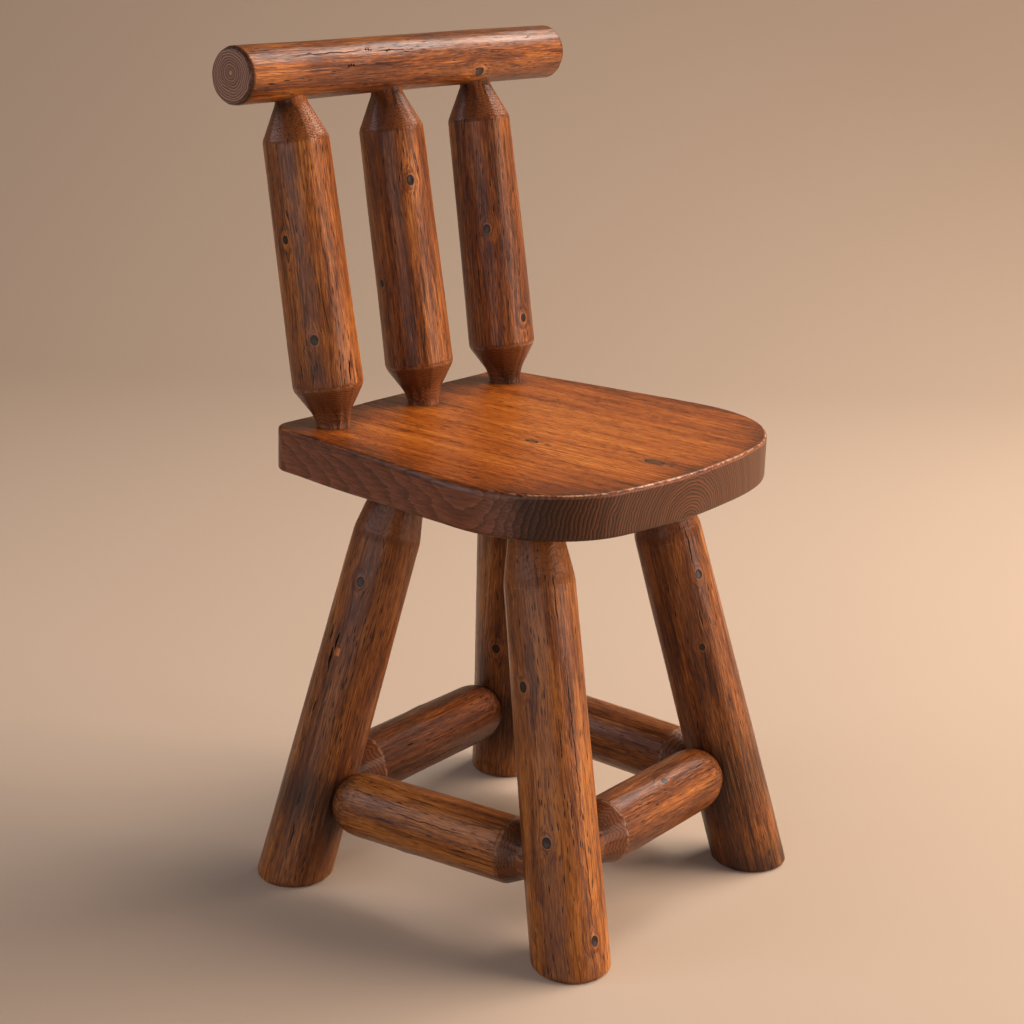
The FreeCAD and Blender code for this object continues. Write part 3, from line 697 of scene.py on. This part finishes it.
SEAT_KNOT_LENGTH = 1.8           # of a knot along the grain, in its own widths
SEAT_DRAW = 20                   # sets the slab's noises apart from those of the logs
SEAT_END_START, SEAT_END_BLEND = 88.0, 36.0  # ahead of the middle, where the side turns to end grain
SEAT_BACK_END, SEAT_BACK_BLEND = 16.0, 10.0  # and from the back edge
SEAT_WALL_START, SEAT_WALL_BLEND = 1.5, 2.0  # below the top, where the rim turns to the wall
SEAT_FRONT_START, SEAT_FRONT_BLEND = 90.0, 50.0            # ahead of y = 0, where the rim is worn bare and carries a painted highlight
SEAT_CORNER_GRIME_AND_SHADE, SEAT_CORNER_SPREAD = -138.0, 42.0       # y of the front corners' darker stain and painted shade, and its reach
SEAT_GRIME_AND_SHADE_REACH = 7.0           # of the dirt and painted shade by the rim and round the spindles
SEAT_SHADE_REACH = 60.0          # of the darkening in from the rim, darker stain with painted shade
SPINDLE_SPACING = 130.0
SPINDLE_INSET = 41.5             # of the spindles' mortises from the back edge
SPINDLE_FOOT = 19.0              # radius that a spindle's foot covers
SEAT_SIDE_CUT = 0.5              # how much of the end grain's look the side walls have
SEAT_SPAN = 720                  # points round the slab
SEAT_FACE_RINGS, SEAT_EDGE_RINGS, SEAT_WALL_RINGS = 34, 9, 30
seat_x = (seat_low[0] + seat_high[0]) / 2


def seat_outline():
    """Plan of the slab, anticlockwise seen from above, as points and outward directions.

    The left half is half of the bow, an arc, the side line, an arc and a line along the back; every arc is
    tangent to its neighbours. The right half is its mirror image.
    """
    slope = math.radians(SEAT_SIDE_SPLAY)
    back, front = seat_high[1], seat_low[1]
    half_back = SEAT_BACK_WIDTH / 2
    along_side = np.array((math.sin(slope), -math.cos(slope)))
    outward_side = np.array((math.cos(slope), math.sin(slope)))
    corner_y = back - SEAT_BACK_CORNER
    side_origin = np.array((half_back, back))
    back_centre = np.array(((outward_side @ side_origin - SEAT_BACK_CORNER - outward_side[1] * corner_y)
                            / outward_side[0], corner_y))
    bow_centre = np.array((0.0, front + SEAT_FRONT_BOW))
    inset = outward_side @ side_origin - SEAT_FRONT_CORNER
    foot = outward_side * inset
    aside = bow_centre - foot
    along = aside @ along_side
    reach = math.sqrt((SEAT_FRONT_BOW - SEAT_FRONT_CORNER) ** 2 - (aside @ outward_side) ** 2)
    front_centre = foot + along_side * (along + reach)
    bow_angle = math.atan2(*(front_centre - bow_centre)[::-1])

    def arc(centre, radius, first, last):
        angle = np.linspace(first, last, max(8, int(abs(last - first) * radius / 2.0)))
        outward = np.stack([np.cos(angle), np.sin(angle)], -1)
        return centre + radius * outward, outward

    corners = [arc(bow_centre, SEAT_FRONT_BOW, -math.pi / 2, bow_angle),
               arc(front_centre, SEAT_FRONT_CORNER, bow_angle, slope),
               arc(back_centre, SEAT_BACK_CORNER, slope, math.pi / 2)]
    half_points = np.concatenate([points for points, _ in corners])
    half_outward = np.concatenate([outward for _, outward in corners])
    mirror = np.array((-1.0, 1.0))
    points = np.concatenate([half_points, half_points[::-1] * mirror])
    outward = np.concatenate([half_outward, half_outward[::-1] * mirror])
    loop = np.concatenate([points, points[:1]])
    gone = np.concatenate([[0.0], np.cumsum(np.linalg.norm(np.diff(loop, axis=0), axis=1))])
    steps = np.linspace(0, gone[-1], SEAT_SPAN, endpoint=False)
    turned = np.concatenate([outward, outward[:1]])
    plan = np.stack([np.interp(steps, gone, loop[:, i]) for i in (0, 1)], -1)
    normal = np.stack([np.interp(steps, gone, turned[:, i]) for i in (0, 1)], -1)
    normal /= np.linalg.norm(normal, axis=1)[:, None]
    return plan + (seat_x, 0.0), normal, steps / gone[-1]


def seat_rows():
    """Rings from the middle of the underside, round the worn edges, to the middle of the top. The wall dips a
    little where the slab was shaped by hand, and the edge's wear comes and goes along it."""
    def lifted(plan, height):
        heights = np.broadcast_to(height, plan.shape[:-1])
        return np.concatenate([plan, heights[..., None]], -1)

    plan, outward, gone = seat_outline()
    turn = 2 * math.pi * gone
    dip = sum(depth * (np.cos(count * turn + phase) - 1) for count, depth, phase in SEAT_DIPS)
    wear = SEAT_EDGE_WEAR + sum(size * np.cos(count * turn + phase)
                                for count, size, phase in SEAT_WEAR_SWINGS)
    from_corner = np.linalg.norm(plan - SEAT_WORN_CORNER, axis=1)
    wear = wear + SEAT_CORNER_WEAR * np.exp(-(from_corner / SEAT_CORNER_REACH) ** 2)
    plan = plan + outward * dip[:, None]
    middle = np.array((seat_x, (seat_low[1] + seat_high[1]) / 2))
    inner = plan - outward * wear[:, None]
    spread = np.linspace(0.02, 1, SEAT_FACE_RINGS)[:, None, None] ** 0.8
    bend = np.linspace(0, math.pi / 2, SEAT_EDGE_RINGS)[:, None]
    under = middle + (inner - middle) * spread
    low_plan = inner + outward * (wear * np.sin(bend[1:]))[..., None]
    low_height = seat_low[2] + wear * (1 - np.cos(bend[1:]))
    rise = np.linspace(0, 1, SEAT_WALL_RINGS)[1:-1, None]
    wall_height = (seat_low[2] + wear) * (1 - rise) + (seat_high[2] - wear) * rise
    wall_plan = np.broadcast_to(plan, wall_height.shape + (2,))
    top_plan = inner + outward * (wear * np.cos(bend[:-1]))[..., None]
    top_height = seat_high[2] - wear * (1 - np.sin(bend[:-1]))
    face = middle + (inner - middle) * spread[::-1]
    wave = 0.05 * (np.cos(face[..., 0] / 31.0 + 0.4) + np.cos(face[..., 1] / 47.0 + face[..., 0] / 60.0) - 2)
    return np.concatenate([lifted(under, seat_low[2]), lifted(low_plan, low_height),
                           lifted(wall_plan, wall_height), lifted(top_plan, top_height),
                           lifted(face, seat_high[2] + wave)])


def seat_marks(points):
    """The slab's place in its tree: the grain runs along Y, the pith lies by the underside, and the grain
    parts round the knots on the top. The front and back edges show the end grain and the top rim is worn.
    The front rim is bare, with a painted highlight along it. The dark is a halo round each knot, and dirt
    with
    painted shade: along the rim and round the spindles' feet on the top, a painted shadow over the strip
    behind the spindles, a painted shade band under the rounded top edge, on the sides and at the front
    corners, the near corner most. The slab is also drawn darker in from the rim, partly as painted shade."""
    across, lengthwise, height = points[:, 0] - seat_x, points[:, 1], points[:, 2] - seat_low[2]
    flow, bulge, halo = (np.zeros(len(points)) for _ in range(3))
    knot = np.full((len(points), 3), KNOT_REACH)
    for x, y, size in SEAT_KNOTS:
        aside, ahead = across - x, lengthwise - y
        distance = np.hypot(aside, ahead / SEAT_KNOT_LENGTH) / size
        spread = (1.6 * size) ** 2
        flow -= aside * spread / (aside ** 2 + 0.3 * ahead ** 2 + spread)
        bulge += 0.8 * size * np.exp(-(distance / 2.6) ** 2)
        halo += 0.45 * np.exp(-(aside / (1.5 * size)) ** 2 - (ahead / (5.0 * size)) ** 2)
        offsets = np.stack([aside, ahead / SEAT_KNOT_LENGTH, np.zeros(len(points))], -1) / size
        near = (distance < np.linalg.norm(knot, axis=1)) & (height > 30.0)
        knot = np.where(near[:, None], offsets, knot)
    wood = np.stack([across + flow - SEAT_PITH[0], height - bulge - SEAT_PITH[1],
                     lengthwise + MM * SEAT_DRAW], -1)
    below = seat_high[2] - points[:, 2]
    wall = np.clip((below - SEAT_WALL_START) / SEAT_WALL_BLEND, 0, 1)
    front = np.clip((-lengthwise - SEAT_FRONT_START) / SEAT_FRONT_BLEND, 0, 1)
    # The pale line on the front rim's arris: wear with a painted highlight
    rim = np.clip((below - 0.4) / 0.3, 0, 1) * np.clip((1.7 - below) / 0.5, 0, 1) * front
    middle = (seat_low[1] + seat_high[1]) / 2
    from_back = seat_high[1] - lengthwise
    end = np.maximum(np.clip((middle - lengthwise - SEAT_END_START) / SEAT_END_BLEND, 0, 1),
                     np.clip((SEAT_BACK_END - from_back) / SEAT_BACK_BLEND, 0, 1))
    edge = seat_outline()[0][::6]
    inward = np.hypot(points[:, :1] - edge[:, 0], points[:, 1:2] - edge[:, 1]).min(1)
    feet = np.array((-1, 0, 1)) * SPINDLE_SPACING
    from_spindle = np.hypot(across[:, None] - feet, (SPINDLE_INSET - from_back)[:, None]).min(1)
    beyond = np.clip(from_spindle - SPINDLE_FOOT, 0, None)
    # On the top, dark by the rim and round the spindles' feet: dirt with painted shade
    top_dark = np.maximum(0.8 * np.exp(-inward / SEAT_GRIME_AND_SHADE_REACH), 0.9 * np.exp(-beyond / SEAT_GRIME_AND_SHADE_REACH))
    # Painted shadow of the spindles over the strip behind them
    top_dark = np.maximum(top_dark, 0.5 * np.clip((SPINDLE_INSET - from_back) / 14.0, 0, 1))
    # The front corners darker, the near one most: darker stain with painted shade
    corner_dark = 0.82 * np.exp(-((lengthwise - SEAT_CORNER_GRIME_AND_SHADE) / SEAT_CORNER_SPREAD) ** 2)
    corner_dark *= np.clip(0.5 - across / 80.0, 0.4, 1)
    # Painted shade in a band under the rounded top edge, which curves away from the light, except at the
    # front
    edge_shade = 0.8 * np.clip(1.4 - np.abs(below - 4.0) / 5.0, 0, 1) * (1 - front)
    # The side walls darker by half: darker stain with painted shade
    wall_dark = np.maximum(np.maximum(0.5 * (1 - end), corner_dark), edge_shade)
    dark = np.maximum(top_dark, halo) * (1 - wall) + wall_dark * wall
    nothing = np.zeros(len(points))
    return {"wood": wood, "knot": knot, "cut": wall * (SEAT_SIDE_CUT + (1 - SEAT_SIDE_CUT) * end),
            # The slab drawn darker in from the rim: darker stain with painted shade
            "wear": rim, "dark": dark, "shade": 0.02 - 0.17 * np.exp(-inward / SEAT_SHADE_REACH),
            "crack": nothing, "chip": nothing}


slab_wood = stained_pine("stained_varnished_pine_slab", 3.2, 1.0,
                         tones=("#582809", "#964b15", "#b8661f", "#dd9244"),
                         sawn_tones=("#73452a", "#5f381f", "#502d18", "#24110a"),
                         cone_tones=("#9c6b56", "#8f5d4c", "#825343", "#694636"),
                         knot_core="#6e452c", drift=0.08, gloss=0.12)
add_piece("seat", seat_rows(), seat_marks, slab_wood)

# Back spindles
# Three peeled logs that lean back from the slab to the crest, thicker below. A long cone at the top and a
# steep one at the foot bring each down to the round tenons in the crest and the seat.
SPINDLE_LOWER_RADIUS = 35.5
SPINDLE_UPPER_RADIUS = 32.5
SPINDLE_LOWER_TENON = 17.0       # radius
SPINDLE_UPPER_TENON = 16.5
SPINDLE_COLLAR_RADIUS = 20.5
SPINDLE_COLLAR_START, SPINDLE_COLLAR_HEIGHT = 2.8, 14.0
SPINDLE_LOWER_SHOULDER = 38.0
SPINDLE_UPPER_SHOULDER = 33.0
SPINDLE_CUTS = 0.7, 0.2          # end grain's look of the lower and upper cones
SPINDLE_TOP_SPACING = 133.0
SPINDLE_TOP_SHIFT = -4.0
SPINDLE_SEAT_TENON = 30.0        # length
SPINDLE_CREST_TENON = 28.0
SPINDLE_FOOT_GRIME_AND_SHADE, SPINDLE_HEAD_GRIME_AND_SHADE = 26.0, 14.0   # reach of the dirt and painted shade at the seat and the crest

crest_low, crest_high = (np.array(corner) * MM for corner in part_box("crest_rail"))
crest_middle = (crest_low + crest_high) / 2
crest_radius = (crest_high[2] - crest_low[2]) / 2


def make_spindle(place, draw, **marks):
    """A spindle's log from the seat's top to the crest's axis; place counts from the middle one."""
    foot = np.array((seat_x + place * SPINDLE_SPACING, seat_high[1] - SPINDLE_INSET, seat_high[2]))
    head_x = seat_x + SPINDLE_TOP_SHIFT + place * SPINDLE_TOP_SPACING
    head = np.array((head_x, crest_middle[1], crest_middle[2]))
    face = np.linalg.norm(head - foot) - crest_radius
    upper = face - SPINDLE_UPPER_SHOULDER
    low_cut, high_cut = SPINDLE_CUTS
    profile = [(-SPINDLE_SEAT_TENON, SPINDLE_LOWER_TENON, low_cut),
               (SPINDLE_COLLAR_START, SPINDLE_LOWER_TENON, low_cut),
               (SPINDLE_COLLAR_HEIGHT, SPINDLE_COLLAR_RADIUS, low_cut),
               (SPINDLE_LOWER_SHOULDER, SPINDLE_LOWER_RADIUS, low_cut),
               (SPINDLE_LOWER_SHOULDER + SHOULDER_STEP, SPINDLE_LOWER_RADIUS, 0),
               (upper - SHOULDER_STEP, SPINDLE_UPPER_RADIUS, 0),
               (upper, SPINDLE_UPPER_RADIUS, high_cut), (face, SPINDLE_UPPER_TENON, high_cut),
               (face + SPINDLE_CREST_TENON, SPINDLE_UPPER_TENON, high_cut)]
    dark = [(0.0, SPINDLE_FOOT_GRIME_AND_SHADE), (face, SPINDLE_HEAD_GRIME_AND_SHADE)]
    return Log(foot, head, profile, draw, dark=dark, blend=2.5, **marks)


spindles = {
    "right": make_spindle(-1, 9, spiral=2.0, knots=[(183, 182, 2.8), (212, 87, 3.4), (40, 140, 4.0)],
                          cracks=[(264, 44, 64, 1.8), (270, 54, 72, 1.4), (182, 152, 178, 1.3),
                                  (180, 50, 66, 1.4)]),
    "middle": make_spindle(0, 10, spiral=-2.0, knots=[(245, 221, 3.4), (168, 124, 2.6), (80, 90, 4.0)],
                           cracks=[(120, 100, 220, 1.1)]),
    "left": make_spindle(1, 11, spiral=3.0, knots=[(215, 161, 3.2), (267, 66, 3.0), (70, 200, 4.0)],
                         cracks=[(190, 90, 130, 1.0)], shade=-0.02),
}
for place, log in spindles.items():
    rows = log.rings(log.profile[0, 0], log.profile[-1, 0])
    add_piece("spindle_" + place, rows, log.marks, log_wood)

# Crest log
# A round log that lies across the three spindles' tenons as the top of the back. Its ends are sawn square and
# chamfered, and show the growth rings.
CREST_CHAMFER = 3.5

crest_span = crest_high[0] - crest_low[0]
face_radius = crest_radius - CREST_CHAMFER
crest = Log((crest_low[0], *crest_middle[1:]), (crest_high[0], *crest_middle[1:]),
            [(0.0, face_radius, 1), (CREST_CHAMFER, crest_radius, 1), (CREST_CHAMFER + 0.5, crest_radius, 0),
             (crest_span - CREST_CHAMFER - 0.5, crest_radius, 0),
             (crest_span - CREST_CHAMFER, crest_radius, 1), (crest_span, face_radius, 1)],
            12, spiral=1.0, knots=[(206, 321, 4.2), (20, 150, 5.0)],
            cracks=[(142, 56, 152, 1.0), (170, 125.2, 127.4, 2.6), (170, 128.6, 130.8, 2.8),
                    (171, 132, 134.2, 2.6), (140, 155, 157.2, 2.4), (140, 158.6, 160.8, 2.6),
                    (141, 162, 164, 2.2), (145, 183, 185.4, 2.8), (145, 187, 189.2, 2.4),
                    (145, 168, 212, 0.9)],
            dark=[(2.2, 2.4), (crest_span - 2.2, 2.4)], shade=-0.03)
crest.wear_and_highlight_share *= 0.0            # the chamfer's edges are stained, not worn bare, and get no pale line of wear and painted highlight
rows = crest.rings(0.0, crest_span)
crest_rows = np.concatenate([sawn_face(rows[0], 14), rows, sawn_face(rows[-1], 14)[::-1]])
add_piece("crest_rail", crest_rows, crest.marks, log_wood)

# Wedges
# Slips of bare hardwood, driven into the saw kerf of each tenon before it was pressed home. They are sealed
# in the joints, so they stay as plain solids, pale and matt with small flecks.
WEDGE_FLECK = 3.0

wedge_wood, tree = blank_material("bare_beech_wedge")
place = node(tree, "TexCoord", out="Object")
fleck = node(tree, "TexNoise", {"Vector": place, "Scale": MM / WEDGE_FLECK, "Detail": 3.0})
tint = node(tree, "ValToRGB", {0: fleck}, stops=[(0.3, "#b08a5e"), (0.7, "#d0ab7c")])
face = node(tree, "BsdfPrincipled", {"Base Color": tint, "Roughness": 0.6})
node(tree, "OutputMaterial", {"Surface": face})
for name in ("leg_wedges", "stretcher_wedges", "spindle_seat_wedges", "spindle_crest_wedges"):
    frame["nodes"][name].data.materials.clear()
    frame["nodes"][name].data.materials.append(wedge_wood)

# Floor, light and camera
# A plain pale floor that curves up into a backdrop. A broad curtained window lamp and a tall strip light it
# from the right of the picture, with a small lamp from above and weak fills by the camera and from the left.
FLOOR_HALF = 6.0                 # metres
FLOOR_BACK = 2.0                 # where the floor starts to curve up
FLOOR_BEND = 1.5                 # radius of the curve
FLOOR_END = 9.0                  # along the floor and up the backdrop
CAMERA_AZIMUTH, CAMERA_HEIGHT_ANGLE, CAMERA_ROLL = -51.55, 17.09, 1.79    # degrees
CAMERA_DISTANCE = 2.2495
CAMERA_AIM = np.array((0.1048, 0.1150, 0.3137))
CAMERA_LENS = 74.9               # on a 36 mm frame

upward = np.array((0.0, 0.0, 1.0))
azimuth, rise, roll = (math.radians(v) for v in (CAMERA_AZIMUTH, CAMERA_HEIGHT_ANGLE, CAMERA_ROLL))
to_camera = np.array((math.sin(azimuth) * math.cos(rise), -math.cos(azimuth) * math.cos(rise),
                      math.sin(rise)))
level_right = np.cross(-to_camera, upward)
level_right /= np.linalg.norm(level_right)
level_up = np.cross(level_right, -to_camera)
camera_right = level_right * math.cos(roll) + level_up * math.sin(roll)
camera_up = level_up * math.cos(roll) - level_right * math.sin(roll)


def placed(name, data, place, right, up, back):
    """An object at a place, turned so that its own X, Y and Z lie along right, up and back."""
    made = bpy.data.objects.new(name, data)
    bpy.context.scene.collection.objects.link(made)
    turned = np.eye(4)
    turned[:3] = np.stack([right, up, back, place], -1)
    made.matrix_world = Matrix(turned)
    return made


camera = bpy.data.cameras.new("camera")
camera.lens, camera.sensor_width = CAMERA_LENS, 36.0
camera.clip_start, camera.clip_end = 0.1, 50.0
bpy.context.scene.camera = placed("camera", camera, CAMERA_AIM + to_camera * CAMERA_DISTANCE, camera_right,
                                  camera_up, to_camera)

away = np.array((-to_camera[0], -to_camera[1])) / np.hypot(to_camera[0], to_camera[1])
bend_end = FLOOR_BACK + FLOOR_BEND * math.pi / 2
sweep = np.concatenate([np.linspace(-FLOOR_HALF, FLOOR_BACK, 30), np.linspace(FLOOR_BACK, bend_end, 40)[1:],
                        np.linspace(bend_end, FLOOR_END, 20)[1:]])
bend = np.clip((sweep - FLOOR_BACK) / FLOOR_BEND, 0, math.pi / 2)
ahead = np.where(sweep < FLOOR_BACK, sweep, FLOOR_BACK + FLOOR_BEND * np.sin(bend))
climb = np.where(sweep < FLOOR_BACK, 0.0, FLOOR_BEND * (1 - np.cos(bend)))
climb += np.clip(sweep - bend_end, 0, None)
width = np.linspace(-FLOOR_HALF, FLOOR_HALF, 30)
grid = np.zeros((len(sweep), len(width), 3))
grid[..., 0] = ahead[:, None] * away[0] + width * level_right[0]
grid[..., 1] = ahead[:, None] * away[1] + width * level_right[1]
grid[..., 2] = climb[:, None]
corner = (np.arange(len(sweep) - 1)[:, None] * len(width) + np.arange(len(width) - 1)).ravel()
floor_faces = np.stack([corner, corner + 1, corner + len(width) + 1, corner + len(width)], -1)
floor_mesh = bpy.data.meshes.new("floor_sheet")
floor_mesh.from_pydata(grid.reshape(-1, 3), [], floor_faces.tolist())
floor_mesh.polygons.foreach_set("use_smooth", np.ones(len(floor_faces), bool))
floor = bpy.data.objects.new("floor", floor_mesh)
bpy.context.scene.collection.objects.link(floor)
# Matt paper that throws less colour back on the wood than it shows
paper, tree = blank_material("pale_studio_paper")
bounce = node(tree, "LightPath", out="Is Diffuse Ray")
sheet = node(tree, "Mix", {0: bounce, 6: "#b5a495", 7: "#806c5b"}, 2, data_type="RGBA")
sheet = node(tree, "BsdfPrincipled", {"Base Color": sheet, "Roughness": 0.9})
node(tree, "OutputMaterial", {"Surface": sheet})
floor_mesh.materials.append(paper)


def lamp(name, to_right, to_back, to_up, distance, width, height, power, spread, tint):
    """A flat lamp, placed by its direction from the object as the camera sees it, that faces the object. Its
    grid holds the light within the spread in degrees."""
    aim = np.array((0.0, 0.0, 0.4))
    level_back = np.array((-away[0], -away[1], 0.0))
    back = to_right * level_right + to_back * level_back + to_up * upward
    back /= np.linalg.norm(back)
    right = np.cross(upward, back)
    right /= np.linalg.norm(right)
    light = bpy.data.lights.new(name, "AREA")
    light.shape, light.size, light.size_y = "RECTANGLE", width, height
    light.energy, light.color = power, colour(tint)[:3]
    light.spread = math.radians(spread)
    return placed(name, light, aim + back * distance, right, np.cross(back, right), back)


window = lamp("window_lamp", 0.97, -0.2, 0.36, 4.2, 3.2, 3.2, 244.0, 130.0, "#ffe8d2")
window.visible_glossy = False    # a sheer curtain over it, so it lays no white band on the varnish
lamp("strip_lamp", 0.94, 0.34, 0.14, 3.0, 0.7, 1.3, 27.0, 180.0, "#ffe8d6")
lamp("overhead_lamp", 0.52, -0.54, 0.74, 2.8, 0.75, 0.75, 27.0, 150.0, "#fff4e8")
lamp("fill_lamp", -0.5, 0.85, 0.2, 3.0, 3.2, 1.5, 28.0, 180.0, "#fbf0ee")
lamp("left_lamp", -0.9, 0.18, 0.5, 3.0, 1.2, 1.2, 20.0, 180.0, "#f3ecf2")
world = bpy.data.worlds.new("studio")
world.use_nodes = True
world.node_tree.nodes["Background"].inputs["Color"].default_value = colour("#fbf3ea")
world.node_tree.nodes["Background"].inputs["Strength"].default_value = 0.12
bpy.context.scene.world = world
bpy.context.scene.view_settings.view_transform = "Standard"
